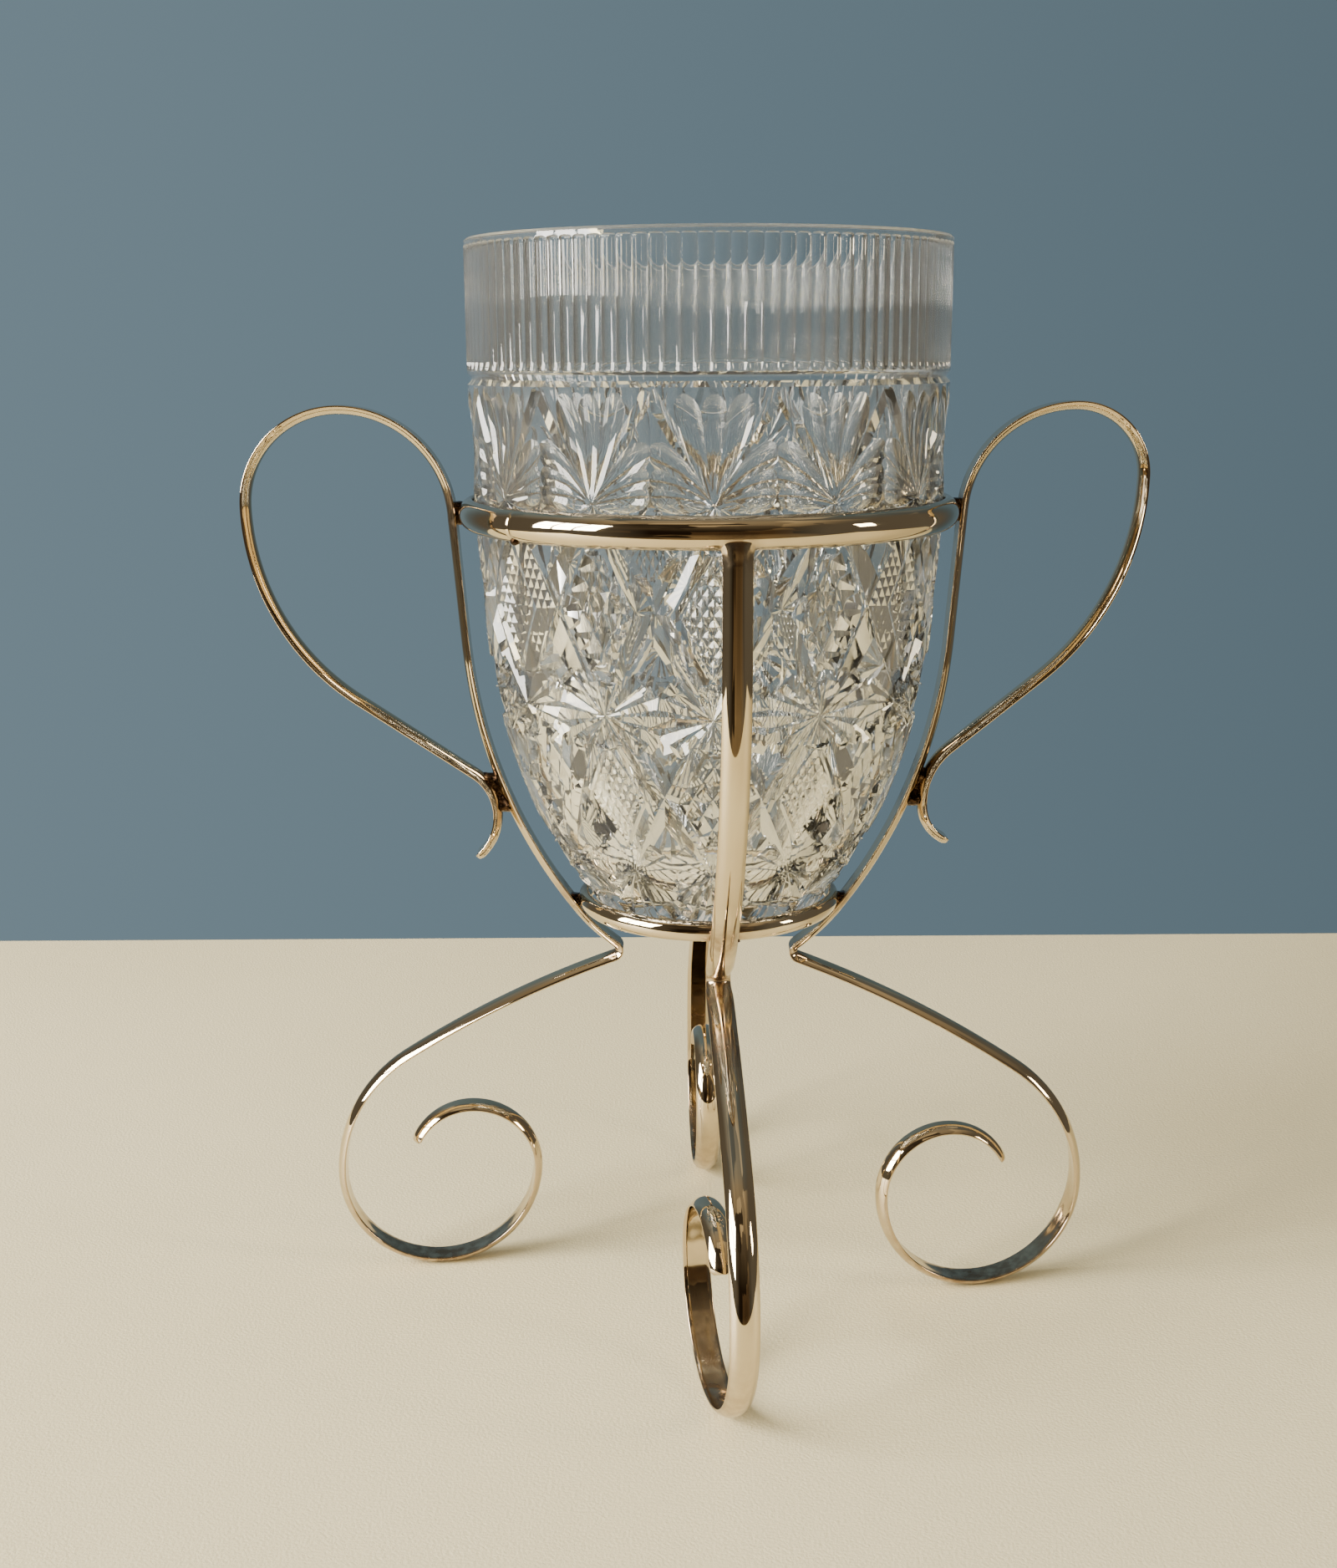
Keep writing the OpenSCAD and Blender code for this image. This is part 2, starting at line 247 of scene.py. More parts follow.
def lattice(kind, top, bottom, pitch, depth, reach):
    """Batches of crossing cuts in every second diamond panel between two rows of stars. kind is 0 or 1, for
    the panels at even or odd columns, and reach is half the length of a cut as a share of a panel's side."""
    middle = (top + bottom) / 2
    r = body_r(middle)
    half_w, half_h = COLUMN / 2 * r, (top - bottom) / 2
    side = math.hypot(half_w, half_h)
    length = reach * side
    count = int(length / pitch)
    run = 1.5 * MM
    depth_at = line_depth(depth, run, run, 2 * length)
    batches = []
    for lean in (-1, 1):
        for odd in (0, 1):
            batch = []
            for number in COLUMN_NUMBERS:
                if (number + kind) % 2:
                    continue
                for i in range(-count, count + 1):
                    if i % 2 != odd:
                        continue
                    across, up = i * pitch * half_w / side * lean, i * pitch * half_h / side
                    ends = [(number * COLUMN + (across - lean * sign * length * half_w / side) / r,
                             middle + up + sign * length * half_h / side) for sign in (-1, 1)]
                    batch.append(cutter(straight(*ends, depth_at, 9), lattice_mitre))
            if batch:
                batches.append(joined(batch))
    return batches


def long_mitres(top, bottom, depth):
    """Batches of the deep mitre cuts that run slantwise from star to star."""
    def depth_at(t):
        return 0.3 * MM + depth * math.sin(math.pi * t) ** 0.8

    batches = []
    for lean in (-1, 1):
        batch = []
        for turn in (number * COLUMN for number in COLUMN_NUMBERS):
            start, end = (turn, top), (turn + lean * COLUMN, bottom)
            batch.append(cutter(straight(start, end, depth_at, 16), mitre))
        batches += [joined(batch[::2]), joined(batch[1::2])]
    return batches


def flutes():
    """Batches of the narrow upright hollows below the rim."""
    pitch = 2 * math.pi * BUCKET_R / FLUTES
    depth = 1.2 * MM
    radius = (pitch / 2) ** 2 / (2 * depth) + depth / 2
    low, high = GROOVE_Z + 2.6 * MM, RIM_Z - 2.2 * MM
    depth_at = line_depth(depth, 3 * MM, 1.2 * MM, high - low)
    shares = (0, 0.01, 0.025, 0.05, 0.075, 0.5, 0.97, 0.985, 0.995, 1)
    batches = []
    for odd in (0, 1):
        batch = []
        for i in range(odd, FLUTES, 2):
            turn = (i + 0.5) * 2 * math.pi / FLUTES
            path = [(turn, low + (high - low) * t, depth_at(t)) for t in shares]
            batch.append(cutter(path, lambda d: hollow(d, radius, 8)))
        batches.append(joined(batch))
    return batches


def blank():
    """The turned bucket before it is cut."""
    steps = 36
    floor_z = BASE_Z + BOTTOM
    heights = [BASE_Z + (SHOULDER_Z - BASE_Z) * i / steps for i in range(steps + 1)]
    inner_heights = [floor_z + (SHOULDER_Z - floor_z) * i / steps for i in range(steps, -1, -1)]
    outside = [(body_r(z), z) for z in heights]
    groove_h, groove_depth = 3.8 * MM, 1.6 * MM
    groove = [(BUCKET_R, GROOVE_Z - groove_h / 2), (BUCKET_R - groove_depth, GROOVE_Z),
              (BUCKET_R, GROOVE_Z + groove_h / 2)]
    inner_r = BUCKET_R - WALL
    rim = [(BUCKET_R, RIM_Z - RIM_BEVEL), (BUCKET_R - RIM_BEVEL, RIM_Z),
           (inner_r + RIM_BEVEL, RIM_Z), (inner_r, RIM_Z - RIM_BEVEL)]
    corner, corner_steps, corner_lean = 5 * MM, 6, 1.2 * MM
    inside = [(body_r(z) - WALL, z) for z in inner_heights if z > floor_z + corner]
    floor_r = body_r(floor_z) - WALL
    for i in range(1, corner_steps + 1):
        t, a = i / corner_steps, math.pi / 2 * i / corner_steps
        inside.append((floor_r - corner + corner * math.cos(a) + corner_lean * (1 - t),
                       floor_z + corner - corner * math.sin(a)))
    foot_r, hollow_r, hollow_z = body_r(BASE_Z) - 9 * MM, body_r(BASE_Z) - 11 * MM, BASE_Z + 1.2 * MM
    foot = [(0, hollow_z), (hollow_r, hollow_z), (foot_r, BASE_Z)]
    return lathe(foot + outside + groove + rim + inside + [(0, floor_z)], 16 * COLUMNS)


def lathe(profile, count):
    """A solid turned from a profile that starts and ends on the axis, with count faces round it."""
    points, faces, rings = [], [], []
    for r, z in profile:
        if r == 0:
            rings.append([len(points)])
            points.append(Vector((0, 0, z)))
        else:
            rings.append(list(range(len(points), len(points) + count)))
            points += [Vector((r * math.cos(a), r * math.sin(a), z))
                       for a in (2 * math.pi * i / count for i in range(count))]
    for low, high in zip(rings, rings[1:]):
        for i in range(count):
            k = (i + 1) % count
            if len(low) == 1:
                faces.append((low[0], high[k], high[i]))
            elif len(high) == 1:
                faces.append((low[i], low[k], high[0]))
            else:
                faces.append((low[i], low[k], high[k], high[i]))
    return points, faces


def cut_away(obj, batches):
    """Cuts every batch of cutters out of obj."""
    collection = bpy.data.collections.new("cutters")
    for points, faces in batches:
        mesh = bpy.data.meshes.new("cutter")
        mesh.from_pydata([tuple(p) for p in points], [], faces)
        collection.objects.link(bpy.data.objects.new("cutter", mesh))
    cut = obj.modifiers.new("cut", "BOOLEAN")
    cut.operation, cut.solver = "DIFFERENCE", "MANIFOLD"
    cut.operand_type, cut.collection = "COLLECTION", collection
    bpy.context.view_layer.update()
    made = bpy.data.meshes.new_from_object(obj.evaluated_get(bpy.context.evaluated_depsgraph_get()))
    obj.modifiers.clear()
    obj.data = made
    for o in list(collection.objects):
        bpy.data.objects.remove(o)
    bpy.data.collections.remove(collection)


def rays_at(degrees, depth, share):
    """Rays at these angles, all with one depth and one share."""
    return [(radians(a), depth, share) for a in degrees]


def panels():
    """Batches of the long mitres and of the lattices between them, fine and coarse in turn."""
    batches = long_mitres(TOP_STARS, MIDDLE_STARS, 3.3 * MM)
    batches += long_mitres(MIDDLE_STARS, LOW_STARS, 3.2 * MM)
    batches += lattice(0, TOP_STARS, MIDDLE_STARS, 3.9 * MM, 1.45 * MM, 0.33)
    batches += lattice(1, TOP_STARS, MIDDLE_STARS, 7.8 * MM, 3.3 * MM, 0.36)
    batches += lattice(1, MIDDLE_STARS, LOW_STARS, 3.5 * MM, 1.3 * MM, 0.33)
    batches += lattice(0, MIDDLE_STARS, LOW_STARS, 7.0 * MM, 3.1 * MM, 0.36)
    return batches


def top_stars():
    """Batches of the fans of leaves above the upper ring and of the rays between and below them."""
    low = TOP_STARS - 30 * MM
    fan = rays_at((11, 28, 44, 74, 90, 106, 136, 152, 169), leaf(2.5 * MM), 0.98)
    batches = star(TOP_STARS, fan, low, FAN_TOP, 1.0 * MM, lambda d: hollow(d, 5.6 * MM, 10), 14)
    corner = math.atan2(FAN_TOP - TOP_STARS, COLUMN / 2 * body_r(TOP_STARS))
    edges = [(a, growing(1.6 * MM, 20 * MM), 1.0) for a in (corner, math.pi - corner)]
    batches += star(TOP_STARS, edges, low, FAN_TOP, 0.5 * MM, mitre)
    below = rays_at((-22, -42, -90, -138, -158), growing(2.4 * MM, 17 * MM), 1.0)
    batches += star(TOP_STARS, below, TOP_STARS - 14 * MM, FAN_TOP, 0.5 * MM, mitre)
    return batches


def middle_stars():
    """Batches of the rays of the large stars."""
    rays = rays_at((0, 20, 40, 140, 160, 180, 200, 220, 320, 340), growing(3.9 * MM, 15 * MM, 1.1 * MM), 1.02)
    rays += rays_at((75, 90, 105, 255, 270, 285), growing(3.3 * MM, 10 * MM, 1.1 * MM), 1.0)
    return star(MIDDLE_STARS, rays, MIDDLE_STARS - 11 * MM, MIDDLE_STARS + 12 * MM, 0.4 * MM, mitre)


def low_stars():
    """Batches of the rays of the stars near the foot, which are close together below their middles."""
    rays = rays_at((0, 22, 45, 135, 158, 180), growing(3.4 * MM, 12 * MM, 0.9 * MM), 1.02)
    rays += rays_at((72, 90, 108), growing(1.8 * MM, 9 * MM, 0.9 * MM), 1.0)
    rays += rays_at(range(198, 360, 18), growing(2.4 * MM, 14 * MM, 0.9 * MM), 1.0)
    return star(LOW_STARS, rays, FOOT_TOP, LOW_STARS + 10 * MM, 0.4 * MM, mitre)


def crystal_bucket(material):
    """The bucket, turned, cut and painted with 1 on its inside."""
    bucket = new_object("bucket_crystal", *blank(), material)
    cut_away(bucket, flutes() + panels() + top_stars() + middle_stars() + low_stars())
    bucket.data.shade_smooth()
    bucket.data.set_sharp_from_angle(angle=radians(18))
    below_cuts, above_foot = 4.5 * MM, BASE_Z + 8 * MM
    paint(bucket.data, "inside",
          [float(math.hypot(v.co.x, v.co.y) < body_r(v.co.z) - below_cuts and v.co.z > above_foot)
           for v in bucket.data.vertices])
    return bucket


# ---------------------------------------------------------------------------------------------------------
# Silver strip: the legs and handles, bent from one section
# ---------------------------------------------------------------------------------------------------------

# Width and thickness of the legs' strip, and the thicknesses of the two rings
STRIP_W, STRIP_T = 10.6 * MM, 3.3 * MM
UPPER_T, LOWER_T = 4.9 * MM, 3.4 * MM

# Where the legs' straights start, and how far they lean out towards their tops, in degrees
SIDE_LEG_R, SIDE_LEAN = 92.6 * MM, 4.5
PLAIN_LEG_R, PLAIN_LEAN, PLAIN_TOP = 88.2 * MM, 1, RING_Z - 3.2 * MM

# How far in a leg heads at the end of its thigh, in degrees, and the radius of its fold
THIGH_HEADING, FOLD_R = 38, 2.4 * MM


def lower_bends(thigh_r, lean, knee, fold, shin, twists, foot_radii):
    """A leg from the end of its straight to the tail of its scroll, as (radius, angle, twist) in degrees."""
    span = 20
    calf_r, scroll_r, rise_r, tail_r = (r * MM for r in foot_radii)
    folded_twist, foot_twist = twists
    return [
        (thigh_r * MM, lean - THIGH_HEADING, 0),
        (73 * MM, -knee, 0),
        (FOLD_R, fold, folded_twist),
        (400 * MM, -shin, 0),
        (calf_r, THIGH_HEADING + knee - fold + shin + span, 0),
        (calf_r, -span, -foot_twist / 2),
        (scroll_r, -span, -foot_twist / 2),
        (scroll_r, span - 180, 0),
        (rise_r, -90, 0),
        (tail_r, -66, 0)]


FOOT_RADII = (60, 38.5, 26.5, 23.5)
LEFT_LOWER = lower_bends(190, SIDE_LEAN, 15.5, 123.5, 13, (2, 8), FOOT_RADII)
RIGHT_LOWER = lower_bends(190, SIDE_LEAN, 17, 125, 13.5, (7, 15), (55.5, 39.5, 25.5, 25))
FRONT_LOWER = lower_bends(181.5, PLAIN_LEAN, 15.5, 121, 12, (2, 8), FOOT_RADII)
REAR_LOWER = lower_bends(181.5, PLAIN_LEAN, 15.5, 121, 12, (2, 2), FOOT_RADII)

# The handles from the upper ring to their tails; a radius of 0 is a straight, with its length as the angle
LEFT_HANDLE = [(39.5 * MM, SIDE_LEAN - 90, 0), (34 * MM, -90, 0), (85 * MM, -56, 0), (0, 50 * MM, 0),
               (19 * MM, 42, 0), (21 * MM, 65, 0)]
RIGHT_HANDLE = [(39.5 * MM, SIDE_LEAN - 90, 0), (25 * MM, -90, 0), (94 * MM, -51, 0), (0, 42 * MM, 0),
                (26 * MM, 58, 0), (16 * MM, 60, 0)]


def advance(place, bend):
    """The next place on a strip. A place is its middle, the direction to its right and the way ahead."""
    middle, right, ahead = place
    radius, turn, twist = bend
    right = right * math.cos(twist) - right.cross(ahead) * math.sin(twist)
    if radius == 0:
        return middle + ahead * turn, right, ahead
    out = right * math.copysign(radius, turn)
    new_right = right * math.cos(turn) + ahead * math.sin(turn)
    new_ahead = ahead * math.cos(turn) - right * math.sin(turn)
    return middle - out + new_right * math.copysign(radius, turn), new_right, new_ahead


def places_along(start, bends, step=1.2 * MM):
    """Places along a strip, no further apart than step and closer in tight bends."""
    places = [start]
    for radius, turn, twist in bends:
        if radius == 0:
            pieces = max(1, math.ceil(turn / step))
            small = (0, turn / pieces, 0)
        else:
            angle = radians(abs(turn))
            pieces = max(2, math.ceil(max(radius * angle / step, angle / radians(9))))
            small = (radius, radians(turn) / pieces, radians(twist) / pieces)
        for _ in range(pieces):
            places.append(advance(places[-1], small))
    return places


def start_place(r, z, lean, sign):
    """A place in the XZ plane: sign -1 heads down and 1 heads up."""
    lean = radians(lean)
    return (Vector((r, 0, z)), Vector((math.cos(lean) * sign, 0, -math.sin(lean) * sign)),
            Vector((math.sin(lean) * sign, 0, math.cos(lean) * sign)))


def strip_section(width=STRIP_W, thick=STRIP_T, edge=0.55 * MM, crest_steps=16):
    """Half-round section about its middle, flat towards +X and crest towards -X, and a list that has 1 for
    each of its points that is on a worn edge."""
    edge_steps, flat_steps = 4, 6
    dip, middle_dip = 0.05 * MM, 0.11 * MM
    radius = (width ** 2 / 4 + thick ** 2) / (2 * thick)
    half = math.asin((width / 2 - edge) / radius)
    crest = [Vector((radius - thick / 2 - radius * math.cos(a), radius * math.sin(a)))
             for a in (half * (1 - 2 * i / crest_steps) for i in range(crest_steps + 1))]
    flat_x = thick / 2
    corners = []
    for sign in (-1, 1):
        tip = crest[-1] if sign < 0 else crest[0]
        turn = []
        for i in range(1, edge_steps + 1):
            t = i / (edge_steps + 1)
            bulge = Vector((tip.x * 0.35 + flat_x * 0.65, sign * width / 2))
            end = Vector((flat_x, sign * (width / 2 - edge)))
            turn.append(tip * (1 - t) ** 2 + bulge * 2 * t * (1 - t) + end * t * t)
        corners.append(turn + [Vector((flat_x, sign * (width / 2 - edge)))])
    flat = [Vector((flat_x - dip - middle_dip * (2 * i == flat_steps),
                    (width / 2 - edge) * (2 * i / flat_steps - 1))) for i in range(1, flat_steps)]
    section = crest + corners[0] + flat + corners[1][::-1]
    return section, [float(abs(q.y) > width / 2 - 1.2 * edge) for q in section]


SECTION, SECTION_WORN = strip_section()


def strip(places, fold_at=None):
    """A strip's skin through its places, rounded off at both ends and a little narrower at its fold."""
    rounding, narrowing, narrow_reach = 1.5 * MM, 0.11, 4 * MM
    rows = []
    lengths = [0.0]
    for a, b in zip(places, places[1:]):
        lengths.append(lengths[-1] + (b[0] - a[0]).length)
    total = lengths[-1]
    for (middle, right, ahead), at in zip(places, lengths):
        up = right.cross(ahead)
        end = min(at, total - at)
        shrink = 0.75 + 0.25 * math.sqrt(min(1.0, end / rounding))
        narrow = 1.0
        if fold_at is not None:
            narrow = 1 - narrowing * math.exp(-((middle - fold_at).length / narrow_reach) ** 2)
        rows.append([middle + right * q.x * shrink + up * q.y * shrink * narrow for q in SECTION])
    return skin(rows)


def turned(points_faces, degrees):
    """The same skin turned round the Z axis."""
    points, faces = points_faces
    spin = Matrix.Rotation(radians(degrees), 3, "Z")
    return [spin @ p for p in points], faces


def run_to_ground(r, top, lean, lower):
    """Places along a leg whose straight is as long as its foot needs to stand on the ground."""
    lowest = min(p.z for p in strip(places_along(start_place(r, top, lean, -1), lower))[0])
    return places_along(start_place(r, top, lean, -1), [(0, lowest / math.cos(radians(lean)), 0)] + lower)


def fold_index(places):
    """Which place is the middle of a leg's fold, the place nearest to the axis."""
    return min(range(len(places)), key=lambda i: places[i][0].x)


def tarnish_and_darkening(points, stains):
    """How strongly each point is marked by stains, each a place, how far it reaches and how strong it is:
    tarnished near joints and folds, and painted darker towards the bottom of a scroll.
    """
    return [max(strength * max(0.0, 1 - (p - place).length / reach) for place, reach, strength in stains)
            for p in points]


def metal_object(name, points_faces, worn, stains, material):
    """A piece of metal painted with its wear, which worn gives for each point of a row, where it is tarnished
    and where it is painted darker towards the bottom of a scroll.
    """
    points, faces = points_faces
    made = new_object(name, points, faces, material, radians(65))
    paint(made.data, "worn", [worn[i % len(worn)] for i in range(len(points))])
    paint(made.data, "tarnish_and_darkening", tarnish_and_darkening(points, stains))
    return made


def ring(name, low, high, material, thick, stains, seam_at=None):
    """A half-round band with its flat towards the bucket, and a fine line where its ends meet if seam_at says
    where, in degrees."""
    width = high.z - low.z
    middle_z = (high.z + low.z) / 2
    inner_r = high.x - thick
    section, worn = strip_section(width, thick, 0.5 * MM, 20)
    outer_side = thick / 2 - 0.2 * MM
    angles = [float(a) for a in range(360)]
    dips = {}
    if seam_at is not None:
        angles += [seam_at + a for a in (-0.3, -0.16, 0.16, 0.3)]
        dips = {float(seam_at): 0.22 * MM, seam_at - 0.16: 0.1 * MM, seam_at + 0.16: 0.1 * MM}
    rows = []
    for degrees in sorted(angles):
        out = Vector((math.cos(radians(degrees)), math.sin(radians(degrees)), 0))
        dip = dips.get(degrees, 0)
        rows.append([out * (inner_r + thick / 2 - q.x - (dip if q.x < outer_side else 0))
                     + Vector((0, 0, middle_z + q.y)) for q in section])
    return metal_object(name, skin(rows, loop=True), worn, stains, material)


# ---------------------------------------------------------------------------------------------------------
# Brazing
# ---------------------------------------------------------------------------------------------------------

# A fixed seed, so that the noise is the same each time
noise.seed_set(1)


def uneven(points, amount, size):
    """The same points, pushed about a little by noise."""
    return [p + noise.noise_vector(p / size) * amount for p in points]


def round_the_axis(r, degrees, z):
    """The place at a distance from the axis, an angle round it and a height."""
    return Vector((r * math.cos(radians(degrees)), r * math.sin(radians(degrees)), z))


def thigh(places):
    """The part of a leg above its fold."""
    inner_r, fold_z = 40 * MM, 135 * MM
    return [place for place in places if place[0].x > inner_r and place[0].z > fold_z]


def face_at(places, z, side):
    """Distance from the axis of a strip's face at height z: side 1 is its flat and -1 its crest."""
    middle, right, _ = min(places, key=lambda place: abs((place[0] + place[1] * side * STRIP_T / 2).z - z))
    return (middle + right * side * STRIP_T / 2).x


def web_row(start, end, half, waist, steps, z, offset=0.0):
    """A level section of brazing from start to end. half is its half width at both ends, and waist says what
    share of that is left at its middle."""
    side = [(start + (end - start) * k / steps, half * (waist + (1 - waist) * (2 * k / steps - 1) ** 2))
            for k in range(steps + 1)]
    there = [Vector((x, y + offset, z)) for x, y in side]
    back = [Vector((x, -y + offset, z)) for x, y in side[::-1]]
    return there + back


def filler(at, places, low, high, thick, half_width, most, offset=0.0):
    """Brazing in the gap between a ring's rounded outside and a leg, where the gap is less than most."""
    middle_z, half_h = (low.z + high.z) / 2, (high.z - low.z) / 2
    radius = (half_h ** 2 + thick ** 2) / (2 * thick)
    into_ring, into_leg = 0.9 * MM, 0.6 * MM
    rows = []
    steps = 18
    for i in range(steps + 1):
        t = 2 * i / steps - 1
        z = middle_z + half_h * t * 0.985
        ring_x = high.x - radius + math.sqrt(radius ** 2 - (z - middle_z) ** 2)
        leg_x = face_at(thigh(places), z, 1)
        gap = leg_x - ring_x
        if gap > most:
            continue
        half = half_width * math.sqrt(max(0.03, (1 - (max(gap, 0) / most) ** 2) * (1 - t ** 8)))
        rows.append(web_row(ring_x - into_ring, leg_x + into_leg, half, 0.66, 8, z, offset))
    points, faces = turned(skin(rows), at)
    return uneven(points, 0.3 * MM, 2.2 * MM), faces


def bridge(at, leg, tail, low_z, high_z, half_width):
    """Brazing between the crest of a leg and the handle's tail beside it, narrow half way up."""
    into_leg, into_tail, thinnest = 0.8 * MM, 0.7 * MM, 1.2 * MM
    rows = []
    steps = 26
    for i in range(steps + 1):
        t = 2 * i / steps - 1
        z = (low_z + high_z) / 2 + (high_z - low_z) / 2 * t
        start = face_at(leg, z, -1) - into_leg
        end = max(min(face_at(tail, z, 1), face_at(tail, z, -1)) + into_tail, start + thinnest)
        half = half_width * (0.42 + 0.58 * min(1.0, abs(t) * 1.6) ** 2) * math.sqrt(max(0.06, 1 - t ** 6))
        rows.append(web_row(start, end, half, 0.7, 6, z))
    points, faces = turned(skin(rows), at)
    return uneven(points, 0.3 * MM, 2 * MM), faces


def drop(at, centre, radii):
    """An uneven drop of brazing. centre and radii are (outward, sideways, up)."""
    outward, sideways, upward = radii
    rows = []
    for i in range(13):
        a = math.pi * (i + 0.25) / 12.5
        rows.append([Vector(centre) + Vector((outward * math.sin(a) * math.cos(b),
                                              sideways * math.sin(a) * math.sin(b),
                                              -upward * math.cos(a)))
                     for b in (2 * math.pi * k / 20 for k in range(20))])
    points, faces = turned(skin(rows), at)
    return uneven(points, 0.35 * MM, 2.5 * MM), faces


def flare(at):
    """The top of a front or rear leg, flowing out into the underside of the upper ring."""
    height, into_ring = 7.0 * MM, 0.4 * MM
    pulled_in, leaned_in = 0.25 * MM, 0.12 * MM
    rows = []
    steps = 14
    for i in range(steps + 1):
        t = i / steps
        wide = 1 + 0.42 * t ** 3
        deep = 1.02 + 0.30 * math.sin(math.pi * min(1.0, t * 0.85)) ** 2 * t
        middle = Vector((PLAIN_LEG_R - (1 - t) * leaned_in, 0, PLAIN_TOP - height + (height + into_ring) * t))
        rows.append([middle + Vector((-q.x * deep - pulled_in * t, -q.y * wide, 0)) for q in SECTION])
    return turned(skin([row[::-1] for row in rows]), at)


# ---------------------------------------------------------------------------------------------------------
# Materials
# ---------------------------------------------------------------------------------------------------------

def material_with(name):
    """A new material, its nodes and its Principled shader."""
    made = bpy.data.materials.new(name)
    made.use_nodes = True
    nodes = made.node_tree.nodes
    return made, made.node_tree, nodes["Principled BSDF"]


def node(tree, kind, **settings):
    """A new shader node. Settings named after a socket set it, and the others set properties."""
    made = tree.nodes.new("ShaderNode" + kind)
    for name, value in settings.items():
        socket = next((i for i in made.inputs if i.name.replace(" ", "_").lower() == name), None)
        if socket is None:
            setattr(made, name, value)
        else:
            socket.default_value = value
    return made


def pattern(tree, scale, detail=3, stretch=(1, 1, 1)):
    """Noise in the object's own coordinates, as the socket that carries it. scale is in patches per metre."""
    place = node(tree, "TexCoord")
    mapping = node(tree, "Mapping")
    mapping.inputs["Scale"].default_value = stretch
    tree.links.new(place.outputs["Object"], mapping.inputs["Vector"])
    grain = node(tree, "TexNoise", scale=scale, detail=detail)
    tree.links.new(mapping.outputs["Vector"], grain.inputs["Vector"])
    return grain.outputs["Fac"]


def ramp(tree, factor, stops):
    """A colour ramp from (position, colour) stops; a colour may be one number for grey."""
    made = node(tree, "ValToRGB")
    tree.links.new(factor, made.inputs["Fac"])
    elements = made.color_ramp.elements
    while len(elements) < len(stops):
        elements.new(0.5)
    for element, (position, colour) in zip(elements, stops):
        element.position = position
        element.color = (*colour, 1) if isinstance(colour, tuple) else (colour, colour, colour, 1)
    return made.outputs["Color"]


def mixed(tree, factor, low, high):
    """Two colours, each a socket or a tuple, mixed by a socket."""
    made = node(tree, "MixRGB")
    tree.links.new(factor, made.inputs["Fac"])
    for socket, value in ((made.inputs["Color1"], low), (made.inputs["Color2"], high)):
        if isinstance(value, tuple):
            socket.default_value = (*value, 1)
        else:
            tree.links.new(value, socket)
    return made.outputs["Color"]


def bumped(tree, shader, height, depth):
    """Bumps on a shader from a height socket. depth is in metres."""
    bump = node(tree, "Bump", distance=depth)
    tree.links.new(height, bump.inputs["Height"])
    tree.links.new(bump.outputs["Normal"], shader.inputs["Normal"])


def attribute(tree, name):
    """The number that a mesh was painted with, as a socket."""
    made = node(tree, "Attribute")
    made.attribute_name = name
    return made.outputs["Fac"]


def crystal_material():
    """Clear lead crystal, softly uneven, a little scuffed outside and frosted on its ground rim."""
    made, tree, shader = material_with("crystal")
    tints = [(0.35, (0.975, 0.988, 0.972)), (0.65, (0.99, 0.992, 0.98))]
    tree.links.new(ramp(tree, pattern(tree, 22, 2), tints), shader.inputs["Base Color"])
    haze = ramp(tree, pattern(tree, 60, 4), [(0.5, 0.0), (0.8, 0.03)])
    scuffed = mixed(tree, attribute(tree, "inside"), haze, (0.012, 0.012, 0.012))
    place = node(tree, "TexCoord")
    parts = node(tree, "SeparateXYZ")
    tree.links.new(place.outputs["Object"], parts.inputs["Vector"])
    rim = node(tree, "Math", operation="GREATER_THAN")
    rim.inputs[1].default_value = RIM_Z - RIM_BEVEL - 0.05 * MM
    tree.links.new(parts.outputs["Z"], rim.inputs[0])
    tree.links.new(mixed(tree, rim.outputs[0], scuffed, (0.42, 0.42, 0.42)), shader.inputs["Roughness"])
    shader.inputs["Transmission Weight"].default_value = 0.98
    shader.inputs["IOR"].default_value = 1.54
    bumped(tree, shader, pattern(tree, 40, 1), 0.00006)
    return made


def silver_material():
    """Polished silver plate, softly uneven, worn warmer at its edges, brown where it is tarnished, and
    painted darker towards the bottom of the legs' scrolls.
    """
    made, tree, shader = material_with("silver_plate")
    shader.inputs["Metallic"].default_value = 1
    plate = ramp(tree, pattern(tree, 35, 3), [(0.3, (0.66, 0.54, 0.375)), (0.7, (0.76, 0.645, 0.47))])
    worn = mixed(tree, attribute(tree, "worn"), plate, (0.62, 0.50, 0.35))
    # This browns the plate where it is tarnished, near the joints and folds, and paints it darker towards the
    # bottom of each scroll.
    cloud = node(tree, "Math", operation="MULTIPLY")
    tree.links.new(attribute(tree, "tarnish_and_darkening"), cloud.inputs[0])
    tree.links.new(ramp(tree, pattern(tree, 260, 5), [(0.35, 0.35), (0.6, 1.0)]), cloud.inputs[1])
    tree.links.new(mixed(tree, cloud.outputs[0], worn, (0.20, 0.115, 0.06)), shader.inputs["Base Color"])
    smears = ramp(tree, pattern(tree, 45, 3), [(0.4, 0.02), (0.75, 0.07)])
    tree.links.new(mixed(tree, cloud.outputs[0], smears, (0.34, 0.34, 0.34)), shader.inputs["Roughness"])
    bumped(tree, shader, pattern(tree, 28, 1), 0.00045)
    return made


def solder_material():
    """Dark, tarnished brazing with brighter spots."""
    made, tree, shader = material_with("brazing")
    shader.inputs["Metallic"].default_value = 1
    browns = [(0.35, (0.028, 0.016, 0.009)), (0.58, (0.085, 0.048, 0.026)), (0.78, (0.27, 0.18, 0.11))]
    tree.links.new(ramp(tree, pattern(tree, 330, 4), browns), shader.inputs["Base Color"])
    tree.links.new(ramp(tree, pattern(tree, 500, 3), [(0.3, 0.18), (0.7, 0.42)]), shader.inputs["Roughness"])
    bumped(tree, shader, pattern(tree, 420, 3), 0.0009)
    return made


